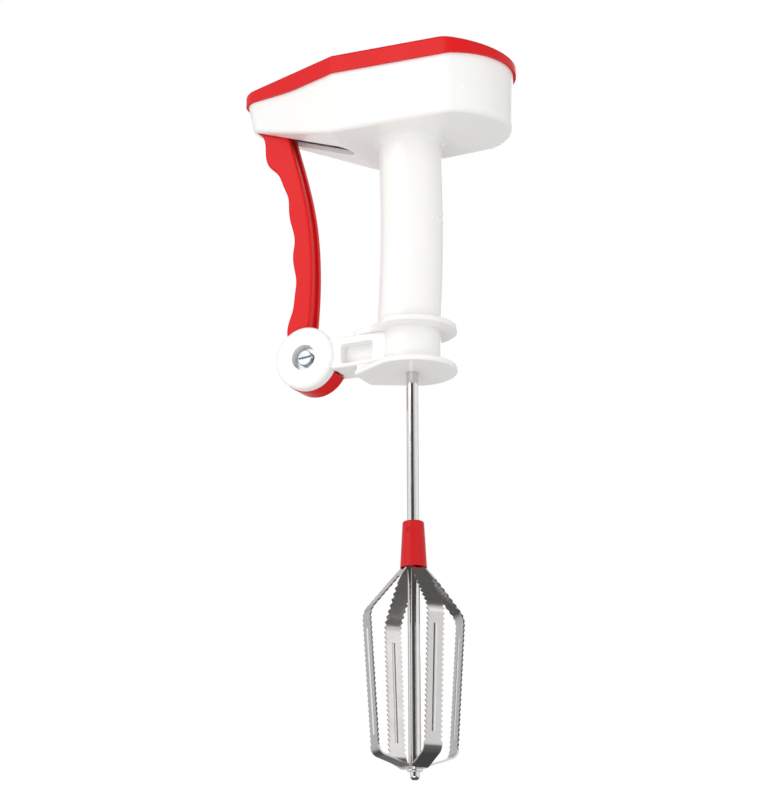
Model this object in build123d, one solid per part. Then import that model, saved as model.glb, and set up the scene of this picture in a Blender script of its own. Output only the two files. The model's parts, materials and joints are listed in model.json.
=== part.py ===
from build123d import *
import os
from math import acos, atan2, cos, degrees, pi, radians, sin, sqrt, tan

# Squeeze-lever hand beater. Millimetres, +Z up. The origin is on the drive shaft's axis at mid grip.
# -X points to the lever side, +X to the round back of the head, and Y = 0 is the plane of symmetry.

# ---- Driving dimensions -------------------------------------------------------------------------
# Head
HEAD_FLOOR_Z = 48.1
HEAD_JOINT_Z = 78.5         # body ends, lid begins
HEAD_SHOULDER_X = -28.3     # where the nose begins to taper
HEAD_CORNER_X = 34.1        # where the sides meet the round back
# Plan of the head at the floor and at the joint: half width at the shoulder and at the back corner,
# how far back it reaches, the x where the nose's two sides would meet, and the nose's tip radius
FLOOR_PLAN = (30.5, 28.0, 53.2, -92.3, 5.5)
JOINT_PLAN = (32.4, 29.25, 54.0, -115.9, 12.8)
HEAD_EDGE_ROUND = 2.4
RAMP_START_X = -31.2        # the underside rises from here to the tip of the nose
RAMP_SLOPE = 0.345
JOINT_RISE_X = -58.0        # the joint rises from here to the tip of the nose
JOINT_SLOPE = 0.1
LID_TOP_Z = 88.0
LID_FALL_X = 31.0           # the lid's top falls from here to the back
LID_FALL_SLOPE = 0.19
LID_OVERHANG = 1.5
LID_SKIN = 2.5
LID_EDGE_ROUND = 1.8
WALL = 2.3
FLOOR = 2.5
INNER_FLOOR_Z = HEAD_FLOOR_Z + FLOOR
SLOT_HALF_WIDTH = 6.2
SLOT_START_X = -85.6
SLOT_END_X = -32.8
LID_SCREWS = [(-54.0, 14.8), (-54.0, -14.8), (26.0, 22.0), (26.0, -22.0)]
GUIDE_SCREWS = [(-24.0, -18.0), (-17.5, -18.0)]

# Grip column, base flanges and neck
GRIP_HALF_X = 16.0
GRIP_HALF_Y = 14.7
GRIP_SECTIONS = [(-53.6, -1.9), (-25.0, -0.2), (0.0, 0.4), (25.0, 0.2), (49.1, -0.7)]  # z, centre x
GRIP_BOTTOM_Z = -50.8
GRIP_CORE_RADIUS = 11.4
FLANGE_RADIUS = 22.5
FLANGE_THICKNESS = 2.8
FLANGE_EDGE_ROUND = 0.8
BASE_Z = -74.2
NECK_RADIUS = 14.3

# Arm and hub
PIVOT_X = -54.4
PIVOT_Z = -61.6
ARM_TOP_Z = -53.4
ARM_BOTTOM_Z = -69.1
ARM_HALF_WIDTH = 10.0
POCKET_CENTRE = (-25.6, -62.3)
POCKET_SIZE = (17.7, 10.2)
POCKET_DEPTH = 6.6
EAR_RADIUS = 16.0
EAR_INNER_Y = 5.6
EAR_OUTER_Y = 11.8
EAR_RECESS_RADIUS = 6.5
EAR_RECESS_DEPTH = 4.0
REAR_EAR_RADIUS = 9.5
DRUM_RADIUS = 16.3
DRUM_HALF_WIDTH = 5.2
SCREW_SEAT_Y = -EAR_OUTER_Y + EAR_RECESS_DEPTH
PIVOT_WASHER_THICKNESS = 0.6
SLEEVE_RADIUS = 3.5
RUNNING_GAP = 0.05          # radial clearance of every running fit
SCREW_RADIUS = 2.0

# Lever
LEVER_HALF_WIDTH = 5.6
GROOVE_DEPTH = 1.2
GROOVE_HALF_WIDTH = 2.4
LEVER_TOP_Z = 71.5
LEVER_HEAD_FRONT_X = -84.0
LEVER_HEAD_BACK_X = -69.2
RACK_SCREWS = [(-75.6, 73.6), (-72.0, 69.8)]  # x, z

# Gear train: rack on the lever, compound idler, pinion on the shaft
MODULE = 1.0
PINION_TEETH = 12
WHEEL_TEETH = 36
BACKLASH = 0.3
IDLER_X = -(PINION_TEETH + WHEEL_TEETH) * MODULE / 2
MESH_HEIGHT = 135.0         # height of the rack's mesh point above the lever's pivot
RACK_PITCH_ANGLE = degrees(pi * MODULE / MESH_HEIGHT)
RACK_MESH_ANGLE = degrees(atan2(IDLER_X - PIVOT_X, MESH_HEIGHT))
RACK_RADIUS = sqrt(MESH_HEIGHT**2 + (IDLER_X - PIVOT_X) ** 2)
RACK_HALF_HEIGHT = 3.0
RACK_BACK_Y = -10.0
RACK_TEETH = 13
WHEEL_Z = 79.9
WHEEL_THICKNESS = 3.5
IDLER_PINION_Z = 68.6
AXLE_RADIUS = 2.0

# Drive shaft and beater
SHAFT_RADIUS = 3.0
SHAFT_TOP_Z = 86.6
SHAFT_GROOVES = [42.9, 53.5]  # lower edges of the snap rings
GROOVE_RADIUS = 2.5
SNAP_RING_THICKNESS = 0.8
PINION_PIN_Z = 76.4
PINION_PIN_RADIUS = 0.8
COLLAR_PIN_Z = -154.4
COLLAR_PIN_RADIUS = 1.0
SPIGOT_RADIUS = 2.5         # carries the blade loops
SPIGOT_Z = -267.2
PILOT_RADIUS = 2.25         # free end below the blades
PILOT_Z = -270.4
TIP_Z = -274.5
COLLAR_TOP_Z = -149.6
COLLAR_BOTTOM_Z = -172.4
COLLAR_TOP_RADIUS = 5.2
COLLAR_BOTTOM_RADIUS = 6.5
BLADE_THICKNESS = 0.8
BLADE_HALF_WIDTH = 4.65
BLADE_NECK_HALF_WIDTH = 2.9
BLADE_ANGLES = {"blade_loop_a": 50.0, "blade_loop_b": -40.0}
TOOTH_PITCH = 2.4
TOOTH_DEPTH = 1.1


# ---- Helpers ------------------------------------------------------------------------------------
def rod(radius, low, high, x=0.0, y=0.0):
    """Upright cylinder between two heights."""
    height = high - low
    return Pos(x, y, low) * Cylinder(radius, height, align=(Align.CENTER, Align.CENTER, Align.MIN))


def tube(outer, inner, low, high, x=0.0, y=0.0):
    """Upright tube between two heights."""
    return rod(outer, low, high, x, y) - rod(inner, low - 1, high + 1, x, y)


def cross_rod(radius, low, high, x=PIVOT_X, z=PIVOT_Z):
    """Cylinder along Y between two Y values, on the lever's pivot unless told otherwise."""
    bar = Cylinder(radius, high - low, align=(Align.CENTER, Align.CENTER, Align.MIN))
    return Pos(x, low, z) * Rot(-90, 0, 0) * bar


def block(x0, x1, y0, y1, z0, z1):
    """Box between two corners."""
    return Pos((x0 + x1) / 2, (y0 + y1) / 2, (z0 + z1) / 2) * Box(x1 - x0, y1 - y0, z1 - z0)


def side_plate(sketch_xz, y0, y1):
    """Extrudes an outline drawn in X and Z from y0 to y1."""
    return extrude(Pos(0, y1, 0) * sketch_xz, amount=y1 - y0, dir=(0, -1, 0))


def xz_polygon(points):
    """Closed outline in the XZ plane from (x, z) points."""
    return Plane.XZ * make_face(Polyline(*points, close=True))


# ---- Head, grip and arm: one moulding -----------------------------------------------------------
def head_plan(z=HEAD_JOINT_Z, inset=0.0):
    """Plan outline of the head at a height, pulled in by inset all round."""
    share = (z - HEAD_FLOOR_Z) / (HEAD_JOINT_Z - HEAD_FLOOR_Z)
    blend = [low + share * (high - low) for low, high in zip(FLOOR_PLAN, JOINT_PLAN)]
    shoulder_y, corner_y, back_x, apex_x, tip_radius = blend
    edge = [
        Line((apex_x, 0), (HEAD_SHOULDER_X, shoulder_y)),
        Line((HEAD_SHOULDER_X, shoulder_y), (HEAD_CORNER_X, corner_y)),
        ThreePointArc((HEAD_CORNER_X, corner_y), (back_x, 0), (HEAD_CORNER_X, -corner_y)),
        Line((HEAD_CORNER_X, -corner_y), (HEAD_SHOULDER_X, -shoulder_y)),
        Line((HEAD_SHOULDER_X, -shoulder_y), (apex_x, 0)),
    ]
    plan = make_face(edge)
    for x, radius in ((apex_x, tip_radius), (HEAD_SHOULDER_X, 3.5), (HEAD_CORNER_X, 10.0)):
        plan = fillet([v for v in plan.vertices() if abs(v.X - x) < 0.5], radius)
    if inset:
        plan = offset(plan, amount=-inset)
    return plan


def softened(outline, rounds):
    """Rounds the corners of an XZ outline nearest to the given (x, z, radius) entries."""
    for x, z, radius in rounds:
        nearest = min(outline.vertices(), key=lambda v: abs(v.X - x) + abs(v.Y - z))
        outline = fillet([nearest], radius)
    return outline


def head_side(lift, top):
    """Side view of the head: flat floor, ramp under the nose, and the joint or a flat height on top."""
    low = HEAD_FLOOR_Z + lift
    far = -100.0
    ramp_top = low + RAMP_SLOPE * (RAMP_START_X - far)
    points = [(60, low), (RAMP_START_X, low), (far, ramp_top)]
    if top is None:
        points += [(far, HEAD_JOINT_Z + JOINT_SLOPE * (JOINT_RISE_X - far))]
        points += [(JOINT_RISE_X, HEAD_JOINT_Z), (60, HEAD_JOINT_Z)]
        rounds = [(RAMP_START_X, low, 25.0), (JOINT_RISE_X, HEAD_JOINT_Z, 120.0)]
    else:
        points += [(far, top), (60, top)]
        rounds = [(RAMP_START_X, low, 25.0 - lift)]
    outline = softened(make_face(Polyline(*points, close=True)), rounds)
    return side_plate(Plane.XZ * outline, -45, 45)


def tapered_block(inset):
    """The head from its floor plan to its joint plan and a little beyond, pulled in by inset."""
    low_z = HEAD_FLOOR_Z - 1.5
    high_z = HEAD_JOINT_Z + 5.0
    return loft([Pos(0, 0, z) * head_plan(z, inset) for z in (low_z, high_z)], ruled=True)


def head_shell():
    """Outside of the head, its bottom edges rounded."""
    shell = tapered_block(0.0) & head_side(0.0, None)
    def under(edge):
        x, z = edge.center().X, edge.center().Z
        ramp = HEAD_FLOOR_Z + RAMP_SLOPE * max(0.0, RAMP_START_X - x)
        flat_across = edge.bounding_box().size.Y > 20 and edge.bounding_box().size.X < 0.1
        return abs(z - ramp) < 1.2 and not flat_across
    return fillet([e for e in shell.edges() if under(e)], HEAD_EDGE_ROUND)


def grip_column():
    """Oval grip, bowed so that its middle stands towards the back."""
    return loft([Pos(x, 0, z) * Ellipse(GRIP_HALF_X, GRIP_HALF_Y) for z, x in GRIP_SECTIONS])


def flange(top, waist, tip):
    """Base flange: a disc that narrows to a blunt tongue over the arm, through a waist corner."""
    turn = radians(102)
    start = (FLANGE_RADIUS * cos(turn), FLANGE_RADIUS * sin(turn))
    upper = [start, waist, tip]
    lower = [(x, -y) for x, y in reversed(upper)]
    outline = [ThreePointArc(start, (FLANGE_RADIUS, 0), lower[-1])]
    corners = upper + lower
    outline += [Line(a, b) for a, b in zip(corners, corners[1:])]
    plan = make_face(outline)
    for x, radius in ((start[0], 5.0), (waist[0], 5.0), (tip[0], 3.0)):
        plan = fillet([v for v in plan.vertices() if abs(v.X - x) < 0.01], radius)
    disc = extrude(Pos(0, 0, top - FLANGE_THICKNESS) * plan, amount=FLANGE_THICKNESS)
    return fillet(disc.edges().filter_by(Axis.Z, reverse=True), FLANGE_EDGE_ROUND)


def arm_and_ears():
    """Arm from the neck to the hub, forked round the lever's drum, with a pocket in each side."""
    arm = block(PIVOT_X, -10, -ARM_HALF_WIDTH, ARM_HALF_WIDTH, ARM_BOTTOM_Z, ARM_TOP_Z)
    arm = fillet(arm.edges().filter_by(Axis.X), 1.2)
    arm += block(-27.5, -10, -8.6, 8.6, ARM_TOP_Z - 1.5, GRIP_BOTTOM_Z + 0.8)
    arm += block(-26, -10, -9.0, 9.0, BASE_Z + 1, ARM_BOTTOM_Z + 1)
    arm -= cross_rod(DRUM_RADIUS + 0.7, -EAR_INNER_Y, EAR_INNER_Y)
    for low, high in ((-30, -EAR_INNER_Y), (EAR_INNER_Y, 30)):
        arm -= cross_rod(EAR_RADIUS + 0.5, low, high)
    for side in (-1, 1):
        x, z = POCKET_CENTRE
        mouth = Pos(x, side * ARM_HALF_WIDTH, z) * Rot(90, 0, 0) * RectangleRounded(*POCKET_SIZE, 1.6)
        arm -= extrude(mouth, amount=POCKET_DEPTH, both=True)
    ear = cross_rod(EAR_RADIUS, -EAR_OUTER_Y, -EAR_INNER_Y)
    ear = fillet(ear.edges().group_by(Axis.Y)[0], 2.2)
    rear = cross_rod(REAR_EAR_RADIUS, EAR_INNER_Y, EAR_OUTER_Y)
    rear += block(PIVOT_X, -36.5, EAR_INNER_Y, ARM_HALF_WIDTH, PIVOT_Z - 7.0, PIVOT_Z + 7.5)
    front_web = block(PIVOT_X + 8, -36.5, -ARM_HALF_WIDTH + 0.2, -EAR_INNER_Y, PIVOT_Z - 6.8, PIVOT_Z + 7.8)
    hub = arm + ear + rear + front_web
    hub -= cross_rod(SCREW_RADIUS + RUNNING_GAP, -20, 20)
    hub -= cross_rod(EAR_RECESS_RADIUS, -EAR_OUTER_Y - 1, SCREW_SEAT_Y)
    nut_pocket = Plane.XZ * Pos(PIVOT_X, PIVOT_Z) * RegularPolygon(3.55, 6, major_radius=False)
    hub -= side_plate(nut_pocket, EAR_OUTER_Y - 2.4, EAR_OUTER_Y + 2)
    return hub


def screw_bosses():
    """Posts inside the head: four for the lid and one for the idler axle."""
    posts = Part()
    for x, y in LID_SCREWS:
        posts += tube(3.6, 1.5 + RUNNING_GAP, HEAD_FLOOR_Z, HEAD_JOINT_Z, x, y)
    posts += rod(4.4, HEAD_FLOOR_Z + 1, 66.0, IDLER_X)
    return posts


def main_body():
    shell = head_shell()
    body = shell + grip_column()
    joint = [e for e in body.edges() if abs(e.center().Z - HEAD_FLOOR_Z) < 0.01 and e.length > 70
             and e.bounding_box().size.X < 2.5 * GRIP_HALF_X]
    body = fillet(joint, 4.5)
    body -= tapered_block(WALL) & head_side(FLOOR, 95.0)
    body -= block(-79.8, -66, RACK_BACK_Y - 0.35, -SLOT_HALF_WIDTH, 70.5, 80)
    body += flange(GRIP_BOTTOM_Z, (-16.0, 12.4), (-28.0, 9.4))
    body += rod(NECK_RADIUS, BASE_Z + 1, GRIP_BOTTOM_Z - 1)
    body += flange(BASE_Z + FLANGE_THICKNESS, (-16.0, 15.8), (-27.6, 9.2))
    body += arm_and_ears()
    body += screw_bosses() & shell
    body -= rod(GRIP_CORE_RADIUS, -46.0, INNER_FLOOR_Z + 1)
    body -= rod(6.0, BASE_Z - 1, -45.0)
    body -= extrude(Pos(0, 0, 40) * slot_plan(), amount=36)
    body -= rod(AXLE_RADIUS, 53.0, 70, IDLER_X)
    for x, y in GUIDE_SCREWS:
        body -= rod(1.25, HEAD_FLOOR_Z + 0.6, 60, x, y)
    return body


def slot_plan():
    """The lever's slot: round at the column's end, nearly square at the nose."""
    length = SLOT_END_X - SLOT_START_X
    slot = Pos((SLOT_START_X + SLOT_END_X) / 2, 0) * SlotOverall(length, 2 * SLOT_HALF_WIDTH)
    return slot + Pos(SLOT_START_X + 10, 0) * RectangleRounded(20, 2 * SLOT_HALF_WIDTH, 1.5)


# ---- Lid ----------------------------------------------------------------------------------------
def lid_side(lower, skin):
    """Side view of the lid, its bottom on the joint less lower and its top brought down by skin."""
    far = -110.0
    top = LID_TOP_Z - skin
    back = top - LID_FALL_SLOPE * (70 - LID_FALL_X)
    outline = make_face(Polyline(
        (far, HEAD_JOINT_Z + JOINT_SLOPE * (JOINT_RISE_X - far) - lower),
        (JOINT_RISE_X, HEAD_JOINT_Z - lower), (70, HEAD_JOINT_Z - lower),
        (70, back), (LID_FALL_X, top), (far, top), close=True))
    outline = softened(outline, [(JOINT_RISE_X, HEAD_JOINT_Z - lower, 120.0), (LID_FALL_X, top, 25.0)])
    return side_plate(Plane.XZ * outline, -45, 45)


def lid_slice(inset, lower, skin):
    """What lies inside the lid's side view within the head's plan."""
    prism = extrude(Pos(0, 0, HEAD_JOINT_Z - 5) * head_plan(inset=inset), amount=20)
    return prism & lid_side(lower, skin)


def top_lid():
    """Cap with a rim, a locating lip and bearing bosses for the shaft's and idler axle's top ends."""
    lid = lid_slice(-LID_OVERHANG, 0.0, 0.0)
    upper = [e for e in lid.edges() if e.center().Z > HEAD_JOINT_Z + 5
             and not (e.bounding_box().size.X < 0.1 and e.bounding_box().size.Y > 20)
             and e.bounding_box().size.Z < 5]
    lid = fillet(upper, LID_EDGE_ROUND)
    cavity_top = LID_TOP_Z - LID_SKIN
    lid -= lid_slice(WALL + 0.1, 1.0, LID_SKIN)
    lip = lid_slice(WALL + 0.45, 3.0, LID_SKIN - 0.5) - lid_slice(WALL + 1.4, 4.0, LID_SKIN - 1.0)
    lip -= block(-100, -60, -30, 30, HEAD_JOINT_Z - 4, LID_TOP_Z)
    for x, y in LID_SCREWS:
        lip -= rod(3.9, HEAD_JOINT_Z - 4, HEAD_JOINT_Z, x, y)
    lid += lip
    for x, y in LID_SCREWS:
        lid += rod(3.6, HEAD_JOINT_Z, cavity_top + 0.5, x, y)
    boss_foot = WHEEL_Z + WHEEL_THICKNESS + 0.8
    lid += rod(5.4, boss_foot, cavity_top + 0.5)
    lid += rod(4.4, boss_foot, cavity_top + 0.5, IDLER_X)
    lid -= rod(SHAFT_RADIUS + RUNNING_GAP, 80, SHAFT_TOP_Z + 0.3)
    lid -= rod(AXLE_RADIUS, 80, 86.4, IDLER_X)
    for x, y in LID_SCREWS:
        lid -= rod(1.5 + RUNNING_GAP, 70, LID_TOP_Z + 1, x, y)
        lid -= countersink(x, y, RUNNING_GAP)
    return lid


def countersink(x, y, gap=0.0):
    """Cone of a lid screw's head, flush with the lid's top."""
    depth = 1.8
    cone = Cone(1.5 + gap, 3.1 + gap, depth, align=(Align.CENTER, Align.CENTER, Align.MAX))
    return Pos(x, y, LID_TOP_Z - 0.2) * cone + rod(3.1 + gap, LID_TOP_Z - 0.2, LID_TOP_Z, x, y)


def cross_recess(x, y, top, size, depth):
    """Cross-shaped driver recess in an upright screw's head."""
    width = size / 4
    long_way = block(x - size / 2, x + size / 2, y - width / 2, y + width / 2, top - depth, top + 1)
    short_way = block(x - width / 2, x + width / 2, y - size / 2, y + size / 2, top - depth, top + 1)
    return long_way + short_way


def lid_screws():
    screws = []
    for x, y in LID_SCREWS:
        screw = countersink(x, y) + rod(1.5, HEAD_JOINT_Z - 9, LID_TOP_Z - 1, x, y)
        screws.append(screw - cross_recess(x, y, LID_TOP_Z, 3.4, 1.2))
    return screws


# ---- Lever --------------------------------------------------------------------------------------
def lever_back_curve():
    """Side the palm's fingers close towards: one long curve."""
    return Spline((-67.6, 62.6), (-61.1, 40.4), (-55.7, 16.5), (-53.3, -11.6), (-55.4, -50.0))


def lever_grip_outline():
    """Side view of the grip part: finger hollows towards -X, one long curve towards the column."""
    front = Spline(
        (-84.6, 66.4), (-81.2, 60.2), (-80.8, 53.6), (-78.6, 47.0), (-73.4, 41.6), (-70.4, 35.0),
        (-67.3, 27.0), (-67.0, 21.5), (-66.0, 14.5), (-63.9, 6.8), (-63.6, 2.5), (-64.3, -2.5),
        (-63.9, -10.0), (-62.5, -18.5), (-63.2, -25.0), (-64.4, -33.5), (-66.5, -39.5), (-66.3, -50.0),
    )
    back = lever_back_curve()
    return make_face([front, back, Line(front @ 0, back @ 0), Line(front @ 1, back @ 1)])


def squeeze_lever():
    grip = side_plate(Plane.XZ * lever_grip_outline(), -LEVER_HALF_WIDTH, LEVER_HALF_WIDTH)
    long_edges = [e for e in grip.edges() if e.length > 100]
    grip = fillet(long_edges, 1.1)
    back = lever_back_curve()
    sunk = Pos(-GROOVE_DEPTH, 0, 0) * back
    ends = [Line(back @ end, sunk @ end) for end in (0, 1)]
    grip -= side_plate(Plane.XZ * make_face([back, sunk] + ends), -GROOVE_HALF_WIDTH, GROOVE_HALF_WIDTH)
    head = xz_polygon([
        (LEVER_HEAD_FRONT_X, 65.8), (LEVER_HEAD_BACK_X, 62.0),
        (LEVER_HEAD_BACK_X, LEVER_TOP_Z), (LEVER_HEAD_FRONT_X + 3, LEVER_TOP_Z)])
    body = grip - cross_rod(EAR_RADIUS + 0.8, -20, 20)
    body += side_plate(head, -LEVER_HALF_WIDTH, LEVER_HALF_WIDTH)
    pad = xz_polygon([(-79.0, 68.8), (-69.2, 66.2), (-69.2, 77.6), (-79.0, 75.6)])
    body += side_plate(pad, RACK_BACK_Y + 2.75, -1.6)
    drum = cross_rod(DRUM_RADIUS, -DRUM_HALF_WIDTH, DRUM_HALF_WIDTH)
    opening = block(PIVOT_X + 3, PIVOT_X + 30, -20, 20, PIVOT_Z - 7.9, PIVOT_Z + 30)
    drum -= opening - cross_rod(12.2, -21, 21)
    root = block(-66.0, -54.0, -DRUM_HALF_WIDTH, DRUM_HALF_WIDTH, PIVOT_Z + 8, -44.0)
    root = root & side_plate(Plane.XZ * lever_grip_outline(), -20, 20)
    body += drum + root
    spring_well = cross_rod(10.4, 0.4, DRUM_HALF_WIDTH + 1) - cross_rod(5.2, 0, DRUM_HALF_WIDTH + 2)
    body -= spring_well
    body -= cross_rod(SLEEVE_RADIUS + RUNNING_GAP, -20, 20)
    for x, z in RACK_SCREWS:
        body -= cross_rod(1.25, -12, 2, x, z)
    return body


def about_pivot(shape, degrees_forward):
    """Turns a shape about the lever's pivot; positive swings its top towards the column."""
    return Pos(PIVOT_X, 0, PIVOT_Z) * Rot(0, degrees_forward, 0) * Pos(-PIVOT_X, 0, -PIVOT_Z) * shape


def rack_band(start, end, y0, y1, inner, outer):
    """Curved bar about the lever's pivot between two angles from the vertical."""
    def at(radius, angle):
        return (PIVOT_X + radius * sin(radians(angle)), PIVOT_Z + radius * cos(radians(angle)))
    middle = (start + end) / 2
    outline = make_face([
        ThreePointArc(at(outer, start), at(outer, middle), at(outer, end)),
        Line(at(outer, end), at(inner, end)),
        ThreePointArc(at(inner, end), at(inner, middle), at(inner, start)),
        Line(at(inner, start), at(outer, start)),
    ])
    return side_plate(Plane.XZ * outline, y0, y1)


def rack_sector():
    """Toothed bar: its teeth stand upright where they meet the idler's pinion."""
    root_y = RACK_BACK_Y + 2.75
    pitch_y = -PINION_TEETH * MODULE / 2
    tip_y = pitch_y + MODULE
    inner = RACK_RADIUS - RACK_HALF_HEIGHT
    outer = RACK_RADIUS + RACK_HALF_HEIGHT
    half = (pi * MODULE / 2 - BACKLASH) / 2
    slope = tan(radians(20))
    sink = 0.3
    root_half = half + (pitch_y - root_y + sink) * slope
    tip_half = half - MODULE * slope
    profile = make_face(Polyline(
        (IDLER_X - root_half, root_y - sink), (IDLER_X - tip_half, tip_y),
        (IDLER_X + tip_half, tip_y), (IDLER_X + root_half, root_y - sink), close=True))
    mesh_z = PIVOT_Z + MESH_HEIGHT
    tooth = extrude(Pos(0, 0, mesh_z - 4.5) * profile, amount=9)
    last = RACK_MESH_ANGLE + RACK_PITCH_ANGLE
    first = last - (RACK_TEETH + 0.4) * RACK_PITCH_ANGLE
    teeth = [about_pivot(tooth, (0.5 - k) * RACK_PITCH_ANGLE) for k in range(RACK_TEETH)]
    window = rack_band(first - 1, last + 1, root_y - 1, tip_y + 1, inner, outer)
    bar = rack_band(-10.2, last + 0.6, RACK_BACK_Y, root_y, inner, outer)
    tab = xz_polygon([(-78.4, 70.0), (-74.6, 67.4), (-70.0, 67.0), (-69.6, 75.0), (-78.4, 74.5)])
    bar += side_plate(tab, RACK_BACK_Y + 0.7, root_y)
    for tooth in teeth:
        bar += tooth & window
    for x, z in RACK_SCREWS:
        bar -= cross_rod(1.25 + RUNNING_GAP, -12, 0, x, z)
        bar -= cross_rod(2.2, -12, RACK_BACK_Y + 1.2, x, z)
    return bar


def rack_screws():
    screws = []
    for x, z in RACK_SCREWS:
        screw = cross_rod(2.1, RACK_BACK_Y + 0.0, RACK_BACK_Y + 1.2, x, z)
        screw += cross_rod(1.2, RACK_BACK_Y + 1, -2.4, x, z)
        screws.append(screw - block(x - 3, x + 3, -12, RACK_BACK_Y + 0.5, z - 0.3, z + 0.3))
    return screws


# ---- Pivot fasteners and return spring ----------------------------------------------------------
def pivot_sleeve():
    outer = cross_rod(SLEEVE_RADIUS, -EAR_INNER_Y, EAR_INNER_Y)
    return outer - cross_rod(SCREW_RADIUS + RUNNING_GAP, -20, 20)


def pivot_screw():
    """Slotted cheese-head screw through both ears; the slot stands a little off level."""
    seat = SCREW_SEAT_Y - PIVOT_WASHER_THICKNESS
    face = seat - 2.2
    screw = cross_rod(4.0, face, seat)
    screw = fillet(screw.edges().group_by(Axis.Y)[0], 0.5)
    screw += cross_rod(SCREW_RADIUS, seat - 0.5, EAR_OUTER_Y + 0.9)
    slot = Rot(0, -5, 0) * Box(12, 2.4, 1.4)
    return screw - Pos(PIVOT_X, face, PIVOT_Z) * slot


def pivot_washer():
    ring = cross_rod(6.0, SCREW_SEAT_Y - PIVOT_WASHER_THICKNESS, SCREW_SEAT_Y)
    return ring - cross_rod(SCREW_RADIUS + RUNNING_GAP, -20, 20)


def pivot_nut():
    outline = Plane.XZ * Pos(PIVOT_X, PIVOT_Z) * RegularPolygon(3.5, 6, major_radius=False)
    nut = side_plate(outline, EAR_OUTER_Y - 2.4, EAR_OUTER_Y + 0.6)
    return nut - cross_rod(SCREW_RADIUS, -20, 20)


def return_spring():
    """Torsion spring round the drum's boss, with one tail let into the rear ear."""
    wire = 0.5
    turns, pitch, mean = 3.0, 1.25, 7.6
    coil = Helix(pitch, turns * pitch, mean)
    section = Plane(coil @ 0, z_dir=coil % 0) * Circle(wire)
    spring = sweep(section, path=coil, is_frenet=True)
    return Pos(PIVOT_X, DRUM_HALF_WIDTH - 0.2, PIVOT_Z) * Rot(90, 0, 0) * spring


# ---- Gears --------------------------------------------------------------------------------------
def gear_outline(teeth, first_angle):
    """Involute gear with one tooth centred on first_angle, thinned for backlash."""
    pitch_radius = teeth * MODULE / 2
    base = pitch_radius * cos(radians(20))
    root = pitch_radius - 1.25 * MODULE
    tip = pitch_radius + MODULE
    start = max(base, root + 0.15)
    half_at_pitch = (pi / 2 - BACKLASH / MODULE / 2) / teeth

    def involute(radius):
        pressure = acos(min(1.0, base / radius))
        return tan(pressure) - pressure

    steps = 4
    flank = []
    for i in range(steps + 1):
        radius = start + (tip - start) * i / steps
        flank.append((radius, half_at_pitch + involute(pitch_radius) - involute(radius)))
    points = []
    for k in range(teeth):
        centre = radians(first_angle) + 2 * pi * k / teeth
        root_half = flank[0][1] + 0.25 / root
        side = [(root, -root_half)] + [(radius, -half) for radius, half in flank]
        side += [(radius, half) for radius, half in reversed(flank)] + [(root, root_half)]
        points += [(r * cos(centre + a), r * sin(centre + a)) for r, a in side]
    return make_face(Polyline(*points, close=True))


def idler_gear():
    """Compound gear: small pinion for the rack below, large wheel for the shaft's pinion above."""
    wheel = extrude(Pos(0, 0, WHEEL_Z) * gear_outline(WHEEL_TEETH, 0.0), amount=WHEEL_THICKNESS)
    pinion = extrude(Pos(0, 0, IDLER_PINION_Z) * gear_outline(PINION_TEETH, -90.0), amount=10.0)
    gear = wheel + pinion + rod(4.4, IDLER_PINION_Z - 1.4, WHEEL_Z + 0.5)
    gear -= rod(AXLE_RADIUS + RUNNING_GAP, 60, 90)
    for k in range(6):
        hole = Rot(0, 0, 60 * k + 30) * Pos(11.5, 0, WHEEL_Z - 1) * Cylinder(2.6, 12)
        gear -= hole
    return Pos(IDLER_X, 0, 0) * gear


def idler_axle():
    axle = rod(AXLE_RADIUS, 53.0, 86.4, IDLER_X)
    return axle - tube(AXLE_RADIUS + 1, 1.5, WHEEL_Z + 3.55, WHEEL_Z + 4.05, IDLER_X)


def idler_washer():
    return tube(4.2, AXLE_RADIUS + RUNNING_GAP, 66.0, 67.0, IDLER_X)


def e_clip(outer, groove, low, high, x=0.0):
    """Snap ring open on one side."""
    ring = tube(outer, groove, low, high, x)
    return ring - block(x - groove * 0.75, x + groove * 0.75, 0, outer + 1, low - 1, high + 1)


def idler_clip():
    return e_clip(3.8, 1.5, WHEEL_Z + 3.6, WHEEL_Z + 4.0, IDLER_X)


def rack_guide():
    """Bent bracket behind the rack that keeps it in mesh with the idler's pinion."""
    back = RACK_BACK_Y - 0.35
    low = INNER_FLOOR_Z
    bracket = block(-26.5, -14.5, back - 2.0, back, low, 78.6)
    bracket += block(-26.5, -14.5, -23, back, low, low + 2.0)
    for x, y in GUIDE_SCREWS:
        bracket -= rod(1.25 + RUNNING_GAP, 50, 60, x, y)
    return bracket


def guide_screws():
    screws = []
    seat = INNER_FLOOR_Z + 2.0
    for x, y in GUIDE_SCREWS:
        screw = rod(2.3, seat, seat + 1.6, x, y) + rod(1.2, HEAD_FLOOR_Z + 0.8, seat + 0.5, x, y)
        screws.append(screw - cross_recess(x, y, seat + 1.6, 2.6, 0.9))
    return screws


# ---- Drive shaft and its bearings ---------------------------------------------------------------
def upper_bush():
    """Plug bearing in the top of the column, flanged on the head's floor."""
    seat = INNER_FLOOR_Z
    bush = rod(GRIP_CORE_RADIUS, 46.5, seat) + rod(13.8, seat, seat + 2.0) + rod(6.0, 44.6, 46.6)
    return bush - rod(SHAFT_RADIUS + RUNNING_GAP, 0, 90)


def lower_bush():
    bush = rod(6.0, BASE_Z, -45.5) + rod(9.0, -46.0, -44.5)
    return bush - rod(SHAFT_RADIUS + RUNNING_GAP, -90, 0)


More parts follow.
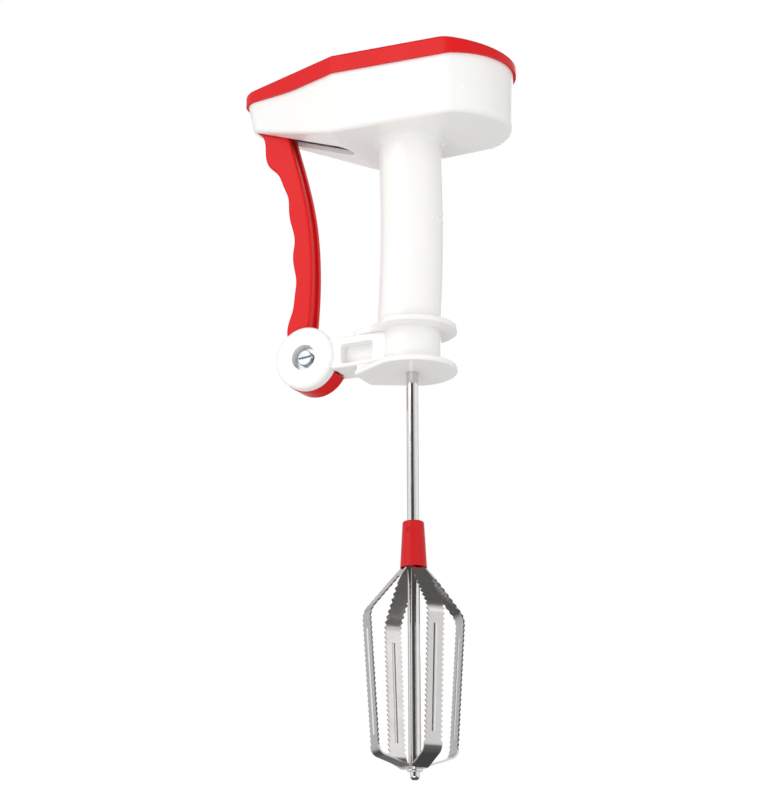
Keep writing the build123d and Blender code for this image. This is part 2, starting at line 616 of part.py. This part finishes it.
def drive_shaft():
    """Rod from the lid's bearing to the beater's foot, stepped down to a rounded pilot."""
    shaft = rod(SHAFT_RADIUS, SPIGOT_Z, SHAFT_TOP_Z)
    shaft = chamfer(shaft.edges().group_by(Axis.Z)[-1], 0.4)
    shaft += rod(SPIGOT_RADIUS, PILOT_Z, SPIGOT_Z)
    pilot = rod(PILOT_RADIUS, TIP_Z, PILOT_Z)
    shaft += fillet(pilot.edges().group_by(Axis.Z)[0], 1.6)
    for low in SHAFT_GROOVES:
        shaft -= tube(SHAFT_RADIUS + 1, GROOVE_RADIUS, low - 0.05, low + SNAP_RING_THICKNESS + 0.05)
    shaft -= cross_rod(PINION_PIN_RADIUS, -10, 10, 0.0, PINION_PIN_Z)
    shaft -= cross_rod(COLLAR_PIN_RADIUS, -10, 10, 0.0, COLLAR_PIN_Z)
    return shaft


def shaft_clips():
    return [e_clip(5.4, GROOVE_RADIUS, low, low + SNAP_RING_THICKNESS) for low in SHAFT_GROOVES]


def thrust_washers():
    """One washer each side of the upper bush."""
    lower, upper = SHAFT_GROOVES
    bore = SHAFT_RADIUS + RUNNING_GAP
    above = tube(5.8, bore, upper - 0.8, upper)
    below = tube(5.8, bore, lower + SNAP_RING_THICKNESS, lower + SNAP_RING_THICKNESS + 0.8)
    return [above, below]


def drive_pinion():
    gear = extrude(Pos(0, 0, WHEEL_Z - 0.3) * gear_outline(PINION_TEETH, 15.0), amount=WHEEL_THICKNESS + 0.5)
    gear += rod(4.8, 73.6, WHEEL_Z)
    gear -= rod(SHAFT_RADIUS, 60, 90)
    return gear - cross_rod(PINION_PIN_RADIUS, -10, 10, 0.0, PINION_PIN_Z)


def pinion_pin():
    return cross_rod(PINION_PIN_RADIUS, -4.7, 4.7, 0.0, PINION_PIN_Z)


# ---- Beater -------------------------------------------------------------------------------------
def beater_collar():
    upright = (Align.CENTER, Align.CENTER, Align.MIN)
    height = COLLAR_TOP_Z - COLLAR_BOTTOM_Z
    cone = Cone(COLLAR_BOTTOM_RADIUS, COLLAR_TOP_RADIUS, height, align=upright)
    collar = Pos(0, 0, COLLAR_BOTTOM_Z) * cone
    collar = fillet(collar.edges().group_by(Axis.Z)[-1], 0.8)
    collar -= rod(SHAFT_RADIUS, -200, 0)
    collar -= rod(5.1, COLLAR_BOTTOM_Z - 1, -157.6)
    collar -= Pos(0, 0, COLLAR_BOTTOM_Z) * Cone(6.0, 5.1, 4.0, align=upright)
    return collar - cross_rod(COLLAR_PIN_RADIUS, -10, 10, 0.0, COLLAR_PIN_Z)


def collar_pin():
    return cross_rod(COLLAR_PIN_RADIUS, -5.0, 5.0, 0.0, COLLAR_PIN_Z)


def offset_path(points, distance):
    """Open path moved sideways by distance, with mitred corners."""
    def unit(a, b):
        length = sqrt((b[0] - a[0]) ** 2 + (b[1] - a[1]) ** 2)
        return ((b[0] - a[0]) / length, (b[1] - a[1]) / length)
    moved = []
    for i, (x, y) in enumerate(points):
        before = unit(points[max(i - 1, 0)], points[max(i, 1)])
        after = unit(points[min(i, len(points) - 2)], points[min(i + 1, len(points) - 1)])
        mid = (-(before[1] + after[1]) / 2, (before[0] + after[0]) / 2)
        scale = distance / (mid[0] ** 2 + mid[1] ** 2)
        moved.append((x + mid[0] * scale, y + mid[1] * scale))
    return moved


def blade_side_view(land_z):
    """Side view of one loop: neck in the collar, shoulder, long side, foot and flat land, both ways."""
    half = [(5.4, land_z), (20.2, -262.8), (24.7, -195.6), (3.6, -171.0), (3.6, -158.2)]
    centre = [(-x, z) for x, z in reversed(half)] + half
    grow = BLADE_THICKNESS / 2
    edges = []
    for side in (grow, -grow):
        bends = [4.0 + side, 9.0 - side, 4.5 - side, 3.0 - side]
        edges.append(FilletPolyline(*offset_path(centre, side), radius=bends + bends[::-1]))
    caps = [Line(edges[0] @ end, edges[1] @ end) for end in (0, 1)]
    return make_face([e for wire in edges for e in wire.edges()] + [c.edge() for c in caps])


def blade_front_view():
    """Front view of a loop: narrow at the neck, then wide with saw teeth down both edges."""
    right = [(BLADE_NECK_HALF_WIDTH, -158.0), (BLADE_NECK_HALF_WIDTH, -172.0), (4.2, -178.0)]
    count = 34
    for k in range(count):
        z = -179.0 - k * TOOTH_PITCH
        right.append((BLADE_HALF_WIDTH - TOOTH_DEPTH, z))
        right.append((BLADE_HALF_WIDTH, z - TOOTH_PITCH / 2))
    right.append((BLADE_HALF_WIDTH - 0.4, -275.0))
    left = [(-u, z) for u, z in reversed(right)]
    return make_face(Polyline(*(right + left), close=True))


def blade_loop(angle, land_z):
    """One bent strip making two blades opposite each other, drilled for the pilot."""
    strip = side_plate(Plane.XZ * blade_side_view(land_z), -6, 6)
    teeth = extrude(Plane.YZ * blade_front_view(), amount=30, both=True)
    strip = strip & teeth
    top, foot = Vector(24.14, 0, -204.0), Vector(20.76, 0, -254.5)
    along = (foot - top).normalized()
    length = (foot - top).length
    middle = Plane(top, x_dir=(-along.Z, 0, along.X), z_dir=along)
    bar = Cylinder(1.5, length, align=(Align.CENTER, Align.CENTER, Align.MIN))
    outward = Pos(1.5, 0, 0) * Box(3, 4, length + 2, align=(Align.CENTER, Align.CENTER, Align.MIN))
    raised = middle * ((Pos(-0.7, 0, 0) * bar) & outward)
    inner_bar = Cylinder(1.2, length - 1, align=(Align.CENTER, Align.CENTER, Align.MIN))
    hollow = middle * (Pos(-1.05, 0, 0.5) * inner_bar)
    for turn in (0, 180):
        strip += Rot(0, 0, turn) * raised
        strip -= Rot(0, 0, turn) * hollow
    strip -= rod(SPIGOT_RADIUS + RUNNING_GAP, -280, -260)
    return Rot(0, 0, angle) * strip


def blade_washer():
    """Push-on washer that holds both loops against the shaft's shoulder."""
    return tube(3.6, SPIGOT_RADIUS, PILOT_Z, PILOT_Z + 0.8)


# ---- Build --------------------------------------------------------------------------------------
NODES = {
    "main_body": main_body,
    "top_lid": top_lid,
    "lid_screws": lid_screws,
    "rack_guide": rack_guide,
    "guide_screws": guide_screws,
    "squeeze_lever": squeeze_lever,
    "rack_sector": rack_sector,
    "rack_screws": rack_screws,
    "pivot_sleeve": pivot_sleeve,
    "pivot_screw": pivot_screw,
    "pivot_washer": pivot_washer,
    "pivot_nut": pivot_nut,
    "return_spring": return_spring,
    "idler_gear": idler_gear,
    "idler_axle": idler_axle,
    "idler_washer": idler_washer,
    "idler_clip": idler_clip,
    "upper_bush": upper_bush,
    "lower_bush": lower_bush,
    "drive_shaft": drive_shaft,
    "drive_pinion": drive_pinion,
    "pinion_pin": pinion_pin,
    "shaft_clips": shaft_clips,
    "thrust_washers": thrust_washers,
    "beater_collar": beater_collar,
    "collar_pin": collar_pin,
    "blade_loop_a": lambda: blade_loop(BLADE_ANGLES["blade_loop_a"], -267.7),
    "blade_loop_b": lambda: blade_loop(BLADE_ANGLES["blade_loop_b"], -268.7),
    "blade_washer": blade_washer,
}


def write_parts():
    os.makedirs("parts", exist_ok=True)
    for name, make in NODES.items():
        shape = make()
        if isinstance(shape, list):
            shape = Compound(children=shape)
        export_step(shape, f"parts/{name}.step")


write_parts()
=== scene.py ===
import json
import math

import bpy
from mathutils import Matrix, Vector

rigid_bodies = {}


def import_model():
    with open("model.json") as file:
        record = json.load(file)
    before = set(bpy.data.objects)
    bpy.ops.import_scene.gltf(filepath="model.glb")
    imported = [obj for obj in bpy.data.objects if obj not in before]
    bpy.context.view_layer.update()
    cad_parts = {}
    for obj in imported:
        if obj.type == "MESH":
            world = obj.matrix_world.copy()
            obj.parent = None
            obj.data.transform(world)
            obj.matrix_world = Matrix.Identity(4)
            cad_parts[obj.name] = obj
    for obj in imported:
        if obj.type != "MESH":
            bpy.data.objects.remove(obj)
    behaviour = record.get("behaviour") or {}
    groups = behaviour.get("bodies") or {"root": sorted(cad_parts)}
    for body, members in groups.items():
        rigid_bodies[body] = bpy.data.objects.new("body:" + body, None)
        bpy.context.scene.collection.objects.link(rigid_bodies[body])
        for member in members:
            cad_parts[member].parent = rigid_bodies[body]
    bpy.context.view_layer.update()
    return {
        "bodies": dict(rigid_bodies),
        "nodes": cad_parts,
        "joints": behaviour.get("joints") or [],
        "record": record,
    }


# ---- Colours, linear ----------------------------------------------------------------------------
WHITE_PLASTIC = (0.925, 0.920, 0.905, 1.0)
WHITE_SHADE = (0.917, 0.911, 0.898, 1.0)
RED_PLASTIC = (0.72, 0.010, 0.012, 1.0)
RED_SHADE = (0.69, 0.008, 0.010, 1.0)
COLLAR_RED = (0.62, 0.010, 0.014, 1.0)
COLLAR_SHADE = (0.56, 0.008, 0.011, 1.0)
NYLON = (0.80, 0.775, 0.70, 1.0)
NYLON_SHADE = (0.72, 0.69, 0.61, 1.0)
BRIGHT_STEEL = (0.74, 0.735, 0.725, 1.0)
BLADE_STEEL = (0.80, 0.785, 0.775, 1.0)
ZINC = (0.60, 0.62, 0.64, 1.0)
ZINC_BLUE = (0.47, 0.53, 0.60, 1.0)
SPRING_STEEL = (0.24, 0.24, 0.26, 1.0)

# ---- Camera, floor and light --------------------------------------------------------------------
CAMERA_AZIMUTH = math.radians(26.0)
CAMERA_LOOKS_UP = math.radians(16.9)
CAMERA_ROLL = math.radians(-0.2)
CAMERA_DISTANCE = 1.274
CAMERA_LENS = 117.0
CAMERA_AIM = Vector((-0.0119, -0.0058, -0.088))
FLOOR_Z = -1.4
FLOOR_HALF_SIZE = 4.0
SOFT_LIGHT_STRENGTH = 0.76
LIGHTS_AIM = (0.0, 0.0, -0.05)
# name, place, width, height, power in watts
LIGHTS = [
    ("key", (-0.55, -1.15, 0.75), 0.9, 0.9, 4.6),
    ("fill", (1.2, -0.9, 0.1), 0.8, 1.2, 1.8),
    ("low_fill", (0.1, -0.9, -0.55), 0.9, 0.5, 3.0),
    ("rear_fill", (-0.3, 1.3, 0.5), 0.9, 0.9, 2.5),
]
# Brightness of the mirrored studio walls from floor to ceiling, as (height, level)
WALL_BANDS = [
    (0.0, 0.10), (0.32, 0.16), (0.42, 0.85), (0.68, 1.05), (0.80, 0.55), (0.90, 0.12), (1.0, 0.08)]
# The same from the back of the studio round to the front, as (share of the way, level)
WALL_PANELS = [(0.0, 0.95), (0.10, 0.50), (0.20, 0.60), (0.28, 1.0), (0.80, 1.15), (0.90, 0.16), (1.0, 0.04)]

COLUMN_WIDTH = 220.0        # spacing of the nodes in the node editor
ROW_HEIGHT = 260.0
ROWS = 3
FRAME_GAP = 80.0


def grouped(tree, effects):
    """Puts each effect's nodes in a frame of its own, in columns from left to right."""
    x = 0.0
    for title, members in effects.items():
        frame = tree.nodes.new("NodeFrame")
        frame.label = title
        for row, node in enumerate(members):
            node.parent = frame
            node.location = (x + COLUMN_WIDTH * (row // ROWS), -ROW_HEIGHT * (row % ROWS))
        x += COLUMN_WIDTH * math.ceil(len(members) / ROWS) + FRAME_GAP


def set_levels(ramp, levels):
    """Grey stops on a colour ramp from (position, level) pairs."""
    while len(ramp.elements) < len(levels):
        ramp.elements.new(0.5)
    for element, (position, level) in zip(ramp.elements, levels):
        element.position = position
        element.color = (level, level, level, 1.0)


# ---- Materials ----------------------------------------------------------------------------------
def moulded_plastic(name, colour, shade, gloss, peel, translucency, shine):
    """Injection-moulded plastic: faint flow colouring, uneven gloss, orange peel and light handling marks."""
    material = bpy.data.materials.new(name)
    material.use_nodes = True
    tree = material.node_tree
    nodes = tree.nodes
    links = tree.links
    nodes.clear()

    where = nodes.new("ShaderNodeTexCoord")
    where.label = "Position on the moulding"
    drawn = nodes.new("ShaderNodeMapping")
    drawn.label = "Flow runs up and down"
    drawn.inputs["Scale"].default_value = (1.0, 1.0, 0.35)
    flow = nodes.new("ShaderNodeTexNoise")
    flow.label = "Cloudy flow of the melt"
    flow.inputs["Scale"].default_value = 38.0
    flow.inputs["Detail"].default_value = 4.0
    flow.inputs["Distortion"].default_value = 0.6
    tones = nodes.new("ShaderNodeValToRGB")
    tones.label = "Plastic colour and its deeper tone"
    tones.color_ramp.elements[0].position = 0.30
    tones.color_ramp.elements[0].color = shade
    tones.color_ramp.elements[1].position = 0.62
    tones.color_ramp.elements[1].color = colour

    smears = nodes.new("ShaderNodeTexNoise")
    smears.label = "Handling smears"
    smears.inputs["Scale"].default_value = 95.0
    smears.inputs["Detail"].default_value = 6.0
    smears.inputs["Roughness"].default_value = 0.62
    gloss_range = nodes.new("ShaderNodeMapRange")
    gloss_range.label = "Smears to gloss"
    gloss_range.inputs["From Min"].default_value = 0.32
    gloss_range.inputs["From Max"].default_value = 0.70
    gloss_range.inputs["To Min"].default_value = gloss - 0.03
    gloss_range.inputs["To Max"].default_value = gloss + 0.04

    skin = nodes.new("ShaderNodeTexNoise")
    skin.label = "Orange peel of the mould"
    skin.inputs["Scale"].default_value = 900.0
    skin.inputs["Detail"].default_value = 2.0
    scuffs = nodes.new("ShaderNodeTexVoronoi")
    scuffs.label = "Tiny scuffs"
    scuffs.feature = "DISTANCE_TO_EDGE"
    scuffs.inputs["Scale"].default_value = 260.0
    scuff_range = nodes.new("ShaderNodeMapRange")
    scuff_range.label = "Only the scuffs' bottoms"
    scuff_range.inputs["From Min"].default_value = 0.0
    scuff_range.inputs["From Max"].default_value = 0.02
    peel_bump = nodes.new("ShaderNodeBump")
    peel_bump.label = "Peel height"
    peel_bump.inputs["Strength"].default_value = peel
    peel_bump.inputs["Distance"].default_value = 0.00012
    scuff_bump = nodes.new("ShaderNodeBump")
    scuff_bump.label = "Scuff depth"
    scuff_bump.inputs["Strength"].default_value = peel * 0.15
    scuff_bump.inputs["Distance"].default_value = 0.00005

    shader = nodes.new("ShaderNodeBsdfPrincipled")
    shader.label = "Moulded plastic"
    shader.inputs["IOR"].default_value = 1.49
    shader.inputs["Specular IOR Level"].default_value = shine
    shader.inputs["Subsurface Weight"].default_value = translucency
    shader.inputs["Subsurface Radius"].default_value = (0.004, 0.002, 0.0015)
    shader.inputs["Subsurface Scale"].default_value = 0.6
    surface = nodes.new("ShaderNodeOutputMaterial")
    surface.label = "Surface"

    grouped(tree, {
        "Colour": [where, drawn, flow, tones],
        "Gloss": [smears, gloss_range],
        "Relief": [skin, scuffs, scuff_range, peel_bump, scuff_bump],
        "Finish": [shader, surface],
    })
    links.new(where.outputs["Object"], drawn.inputs["Vector"])
    links.new(drawn.outputs["Vector"], flow.inputs["Vector"])
    links.new(flow.outputs["Fac"], tones.inputs["Fac"])
    links.new(tones.outputs["Color"], shader.inputs["Base Color"])
    links.new(where.outputs["Object"], smears.inputs["Vector"])
    links.new(smears.outputs["Fac"], gloss_range.inputs["Value"])
    links.new(gloss_range.outputs["Result"], shader.inputs["Roughness"])
    links.new(where.outputs["Object"], skin.inputs["Vector"])
    links.new(where.outputs["Object"], scuffs.inputs["Vector"])
    links.new(scuffs.outputs["Distance"], scuff_range.inputs["Value"])
    links.new(skin.outputs["Fac"], peel_bump.inputs["Height"])
    links.new(scuff_range.outputs["Result"], scuff_bump.inputs["Height"])
    links.new(peel_bump.outputs["Normal"], scuff_bump.inputs["Normal"])
    links.new(scuff_bump.outputs["Normal"], shader.inputs["Normal"])
    links.new(shader.outputs["BSDF"], surface.inputs["Surface"])
    return material


def drawn_steel(name, colour, gloss, line_stretch, line_depth):
    """Bright steel with fine lines left by drawing or rolling, and a few smudges."""
    material = bpy.data.materials.new(name)
    material.use_nodes = True
    tree = material.node_tree
    nodes = tree.nodes
    links = tree.links
    nodes.clear()

    where = nodes.new("ShaderNodeTexCoord")
    where.label = "Position on the steel"
    along = nodes.new("ShaderNodeMapping")
    along.label = "Lines run one way"
    along.inputs["Scale"].default_value = line_stretch
    lines = nodes.new("ShaderNodeTexNoise")
    lines.label = "Drawing lines"
    lines.inputs["Scale"].default_value = 1500.0
    lines.inputs["Detail"].default_value = 3.0
    line_bump = nodes.new("ShaderNodeBump")
    line_bump.label = "Depth of the lines"
    line_bump.inputs["Strength"].default_value = line_depth
    line_bump.inputs["Distance"].default_value = 0.00004

    smudges = nodes.new("ShaderNodeTexNoise")
    smudges.label = "Smudges and dried drops"
    smudges.inputs["Scale"].default_value = 140.0
    smudges.inputs["Detail"].default_value = 7.0
    smudges.inputs["Roughness"].default_value = 0.6
    gloss_range = nodes.new("ShaderNodeMapRange")
    gloss_range.label = "Smudges to gloss"
    gloss_range.inputs["From Min"].default_value = 0.36
    gloss_range.inputs["From Max"].default_value = 0.72
    gloss_range.inputs["To Min"].default_value = gloss
    gloss_range.inputs["To Max"].default_value = gloss + 0.11
    tint = nodes.new("ShaderNodeMix")
    tint.label = "Smudges dull the colour a little"
    tint.data_type = "RGBA"
    tint.inputs["A"].default_value = colour
    tint.inputs["B"].default_value = (colour[0] * 0.86, colour[1] * 0.85, colour[2] * 0.84, 1.0)

    shader = nodes.new("ShaderNodeBsdfPrincipled")
    shader.label = "Steel"
    shader.inputs["Metallic"].default_value = 1.0
    surface = nodes.new("ShaderNodeOutputMaterial")
    surface.label = "Surface"

    grouped(tree, {
        "Lines": [where, along, lines, line_bump],
        "Smudges": [smudges, gloss_range, tint],
        "Finish": [shader, surface],
    })
    links.new(where.outputs["Object"], along.inputs["Vector"])
    links.new(along.outputs["Vector"], lines.inputs["Vector"])
    links.new(lines.outputs["Fac"], line_bump.inputs["Height"])
    links.new(line_bump.outputs["Normal"], shader.inputs["Normal"])
    links.new(where.outputs["Object"], smudges.inputs["Vector"])
    links.new(smudges.outputs["Fac"], gloss_range.inputs["Value"])
    links.new(gloss_range.outputs["Result"], shader.inputs["Roughness"])
    links.new(smudges.outputs["Fac"], tint.inputs["Factor"])
    links.new(tint.outputs["Result"], shader.inputs["Base Color"])
    links.new(shader.outputs["BSDF"], surface.inputs["Surface"])
    return material


def plated_steel(name, colour, bloom, gloss, pitting):
    """Plated fastener steel: two-toned bloom in patches, fine pits and a satin shine."""
    material = bpy.data.materials.new(name)
    material.use_nodes = True
    tree = material.node_tree
    nodes = tree.nodes
    links = tree.links
    nodes.clear()

    where = nodes.new("ShaderNodeTexCoord")
    where.label = "Position on the fastener"
    patches = nodes.new("ShaderNodeTexNoise")
    patches.label = "Patches of bloom"
    patches.inputs["Scale"].default_value = 420.0
    patches.inputs["Detail"].default_value = 3.0
    tones = nodes.new("ShaderNodeValToRGB")
    tones.label = "Plating and bloom"
    tones.color_ramp.elements[0].position = 0.38
    tones.color_ramp.elements[0].color = bloom
    tones.color_ramp.elements[1].position = 0.60
    tones.color_ramp.elements[1].color = colour
    gloss_range = nodes.new("ShaderNodeMapRange")
    gloss_range.label = "Bloom is duller"
    gloss_range.inputs["To Min"].default_value = gloss + 0.12
    gloss_range.inputs["To Max"].default_value = gloss

    pits = nodes.new("ShaderNodeTexVoronoi")
    pits.label = "Pits in the plating"
    pits.inputs["Scale"].default_value = 2600.0
    pit_bump = nodes.new("ShaderNodeBump")
    pit_bump.label = "Depth of the pits"
    pit_bump.inputs["Strength"].default_value = pitting
    pit_bump.inputs["Distance"].default_value = 0.00004

    shader = nodes.new("ShaderNodeBsdfPrincipled")
    shader.label = "Plated steel"
    shader.inputs["Metallic"].default_value = 1.0
    surface = nodes.new("ShaderNodeOutputMaterial")
    surface.label = "Surface"

    grouped(tree, {
        "Bloom": [where, patches, tones, gloss_range],
        "Pits": [pits, pit_bump],
        "Finish": [shader, surface],
    })
    links.new(where.outputs["Object"], patches.inputs["Vector"])
    links.new(patches.outputs["Fac"], tones.inputs["Fac"])
    links.new(patches.outputs["Fac"], gloss_range.inputs["Value"])
    links.new(tones.outputs["Color"], shader.inputs["Base Color"])
    links.new(gloss_range.outputs["Result"], shader.inputs["Roughness"])
    links.new(where.outputs["Object"], pits.inputs["Vector"])
    links.new(pits.outputs["Distance"], pit_bump.inputs["Height"])
    links.new(pit_bump.outputs["Normal"], shader.inputs["Normal"])
    links.new(shader.outputs["BSDF"], surface.inputs["Surface"])
    return material


def make_materials():
    lengthwise = (1.0, 1.0, 0.02)
    return {
        "white": moulded_plastic("white moulding", WHITE_PLASTIC, WHITE_SHADE, 0.24, 0.07, 0.08, 0.40),
        "red": moulded_plastic("red moulding", RED_PLASTIC, RED_SHADE, 0.32, 0.10, 0.02, 0.18),
        "collar": moulded_plastic("collar moulding", COLLAR_RED, COLLAR_SHADE, 0.34, 0.10, 0.02, 0.20),
        "nylon": moulded_plastic("natural nylon", NYLON, NYLON_SHADE, 0.42, 0.20, 0.15, 0.45),
        "rod": drawn_steel("polished rod", BRIGHT_STEEL, 0.07, lengthwise, 0.10),
        "blade": drawn_steel("polished blade sheet", BLADE_STEEL, 0.15, lengthwise, 0.16),
        "turned": drawn_steel("turned steel", BRIGHT_STEEL, 0.20, (0.05, 0.05, 1.0), 0.30),
        "zinc": plated_steel("zinc plating", ZINC, ZINC_BLUE, 0.26, 0.25),
        "spring": plated_steel("oiled spring steel", SPRING_STEEL, (0.15, 0.15, 0.17, 1.0), 0.30, 0.15),
    }


NODE_FINISH = {
    "main_body": "white", "top_lid": "red", "squeeze_lever": "red", "beater_collar": "collar",
    "rack_sector": "nylon", "idler_gear": "nylon", "drive_pinion": "nylon", "upper_bush": "nylon",
    "lower_bush": "white", "idler_washer": "nylon", "drive_shaft": "rod", "blade_loop_a": "blade",
    "blade_loop_b": "blade", "blade_washer": "blade", "rack_guide": "turned", "pivot_sleeve": "turned",
    "idler_axle": "turned", "pinion_pin": "turned", "collar_pin": "collar", "thrust_washers": "turned",
    "lid_screws": "zinc", "guide_screws": "zinc", "rack_screws": "zinc", "pivot_screw": "zinc",
    "pivot_washer": "zinc", "pivot_nut": "zinc", "return_spring": "spring", "idler_clip": "spring",
    "shaft_clips": "spring",
}


def finish_nodes(frame, finishes):
    for name, node in frame["nodes"].items():
        node.data.materials.clear()
        node.data.materials.append(finishes[NODE_FINISH[name]])


# ---- Stage --------------------------------------------------------------------------------------
def make_camera():
    right = Vector((math.cos(CAMERA_AZIMUTH), math.sin(CAMERA_AZIMUTH), 0.0))
    ahead = Vector((
        -math.sin(CAMERA_AZIMUTH) * math.cos(CAMERA_LOOKS_UP),
        math.cos(CAMERA_AZIMUTH) * math.cos(CAMERA_LOOKS_UP),
        math.sin(CAMERA_LOOKS_UP)))
    upward = right.cross(ahead)
    turned_right = right * math.cos(CAMERA_ROLL) + upward * math.sin(CAMERA_ROLL)
    turned_up = turned_right.cross(ahead)
    data = bpy.data.cameras.new("camera")
    data.lens = CAMERA_LENS
    data.sensor_width = 36.0
    data.clip_start = 0.05
    data.clip_end = 50.0
    camera = bpy.data.objects.new("camera", data)
    axes = Matrix((turned_right, turned_up, -ahead)).transposed()
    camera.matrix_world = Matrix.Translation(CAMERA_AIM - ahead * CAMERA_DISTANCE) @ axes.to_4x4()
    bpy.context.scene.collection.objects.link(camera)
    bpy.context.scene.camera = camera


def make_world():
    """White backdrop, even soft light, and walls with bright sides and a dark front for steel to mirror."""
    world = bpy.data.worlds.new("studio")
    bpy.context.scene.world = world
    world.use_nodes = True
    tree = world.node_tree
    nodes = tree.nodes
    links = tree.links
    nodes.clear()
    where = nodes.new("ShaderNodeTexCoord")
    where.label = "Direction"
    split = nodes.new("ShaderNodeSeparateXYZ")
    split.label = "Height of the direction"
    band = nodes.new("ShaderNodeValToRGB")
    band.label = "Studio walls, from floor to ceiling"
    set_levels(band.color_ramp, WALL_BANDS)
    facing = nodes.new("ShaderNodeVectorMath")
    facing.label = "How far towards the front of the studio"
    facing.operation = "DOT_PRODUCT"
    facing.inputs[1].default_value = (math.sin(CAMERA_AZIMUTH), -math.cos(CAMERA_AZIMUTH), 0.0)
    turn = nodes.new("ShaderNodeMapRange")
    turn.label = "Back to front as 0 to 1"
    turn.inputs["From Min"].default_value = -1.0
    turn.inputs["From Max"].default_value = 1.0
    panels = nodes.new("ShaderNodeValToRGB")
    panels.label = "Bright sides, dark front"
    set_levels(panels.color_ramp, WALL_PANELS)
    room = nodes.new("ShaderNodeMix")
    room.label = "Walls with their panels"
    room.data_type = "RGBA"
    room.blend_type = "MULTIPLY"
    room.inputs["Factor"].default_value = 1.0
    spread = nodes.new("ShaderNodeMapRange")
    spread.label = "Down to up as 0 to 1"
    spread.inputs["From Min"].default_value = -1.0
    spread.inputs["From Max"].default_value = 1.0
    rays = nodes.new("ShaderNodeLightPath")
    rays.label = "Which rays"
    walls = nodes.new("ShaderNodeBackground")
    walls.label = "Mirrored studio"
    soft = nodes.new("ShaderNodeBackground")
    soft.label = "Even soft light"
    soft.inputs["Color"].default_value = (1.0, 0.995, 0.985, 1.0)
    soft.inputs["Strength"].default_value = SOFT_LIGHT_STRENGTH
    white = nodes.new("ShaderNodeBackground")
    white.label = "White backdrop"
    white.inputs["Strength"].default_value = 1.0
    white.inputs["Color"].default_value = (1.0, 1.0, 1.0, 1.0)
    choose_gloss = nodes.new("ShaderNodeMixShader")
    choose_gloss.label = "Mirror rays see the walls"
    choose_camera = nodes.new("ShaderNodeMixShader")
    choose_camera.label = "The backdrop stays white"
    surface = nodes.new("ShaderNodeOutputWorld")
    surface.label = "World"
    grouped(tree, {
        "Walls": [where, split, spread, band],
        "Panels": [facing, turn, panels, room, walls],
        "Plain light": [soft, white],
        "Which is seen": [rays, choose_gloss, choose_camera, surface],
    })
    links.new(where.outputs["Generated"], split.inputs["Vector"])
    links.new(split.outputs["Z"], spread.inputs["Value"])
    links.new(spread.outputs["Result"], band.inputs["Fac"])
    links.new(where.outputs["Generated"], facing.inputs[0])
    links.new(facing.outputs["Value"], turn.inputs["Value"])
    links.new(turn.outputs["Result"], panels.inputs["Fac"])
    links.new(band.outputs["Color"], room.inputs["A"])
    links.new(panels.outputs["Color"], room.inputs["B"])
    links.new(room.outputs["Result"], walls.inputs["Color"])
    links.new(rays.outputs["Is Glossy Ray"], choose_gloss.inputs["Fac"])
    links.new(soft.outputs["Background"], choose_gloss.inputs[1])
    links.new(walls.outputs["Background"], choose_gloss.inputs[2])
    links.new(rays.outputs["Is Camera Ray"], choose_camera.inputs["Fac"])
    links.new(choose_gloss.outputs["Shader"], choose_camera.inputs[1])
    links.new(white.outputs["Background"], choose_camera.inputs[2])
    links.new(choose_camera.outputs["Shader"], surface.inputs["Surface"])


def soft_light(name, place, width, height, power):
    data = bpy.data.lights.new(name, "AREA")
    data.shape = "RECTANGLE"
    data.size = width
    data.size_y = height
    data.energy = power
    light = bpy.data.objects.new(name, data)
    light.location = place
    light.rotation_mode = "QUATERNION"
    light.rotation_quaternion = (Vector(LIGHTS_AIM) - Vector(place)).to_track_quat("-Z", "Y")
    bpy.context.scene.collection.objects.link(light)


def make_floor():
    material = bpy.data.materials.new("pale floor")
    material.use_nodes = True
    shader = material.node_tree.nodes["Principled BSDF"]
    shader.inputs["Base Color"].default_value = (0.86, 0.86, 0.86, 1.0)
    shader.inputs["Roughness"].default_value = 0.8
    mesh = bpy.data.meshes.new("floor")
    half = FLOOR_HALF_SIZE
    mesh.from_pydata([(-half, -half, FLOOR_Z), (half, -half, FLOOR_Z), (half, half, FLOOR_Z),
                      (-half, half, FLOOR_Z)], [], [(0, 1, 2, 3)])
    mesh.materials.append(material)
    floor = bpy.data.objects.new("floor", mesh)
    floor.visible_glossy = False
    bpy.context.scene.collection.objects.link(floor)


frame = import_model()
make_camera()
make_world()
for light in LIGHTS:
    soft_light(*light)
make_floor()
bpy.context.scene.view_settings.view_transform = "Standard"
finishes = make_materials()
finish_nodes(frame, finishes)
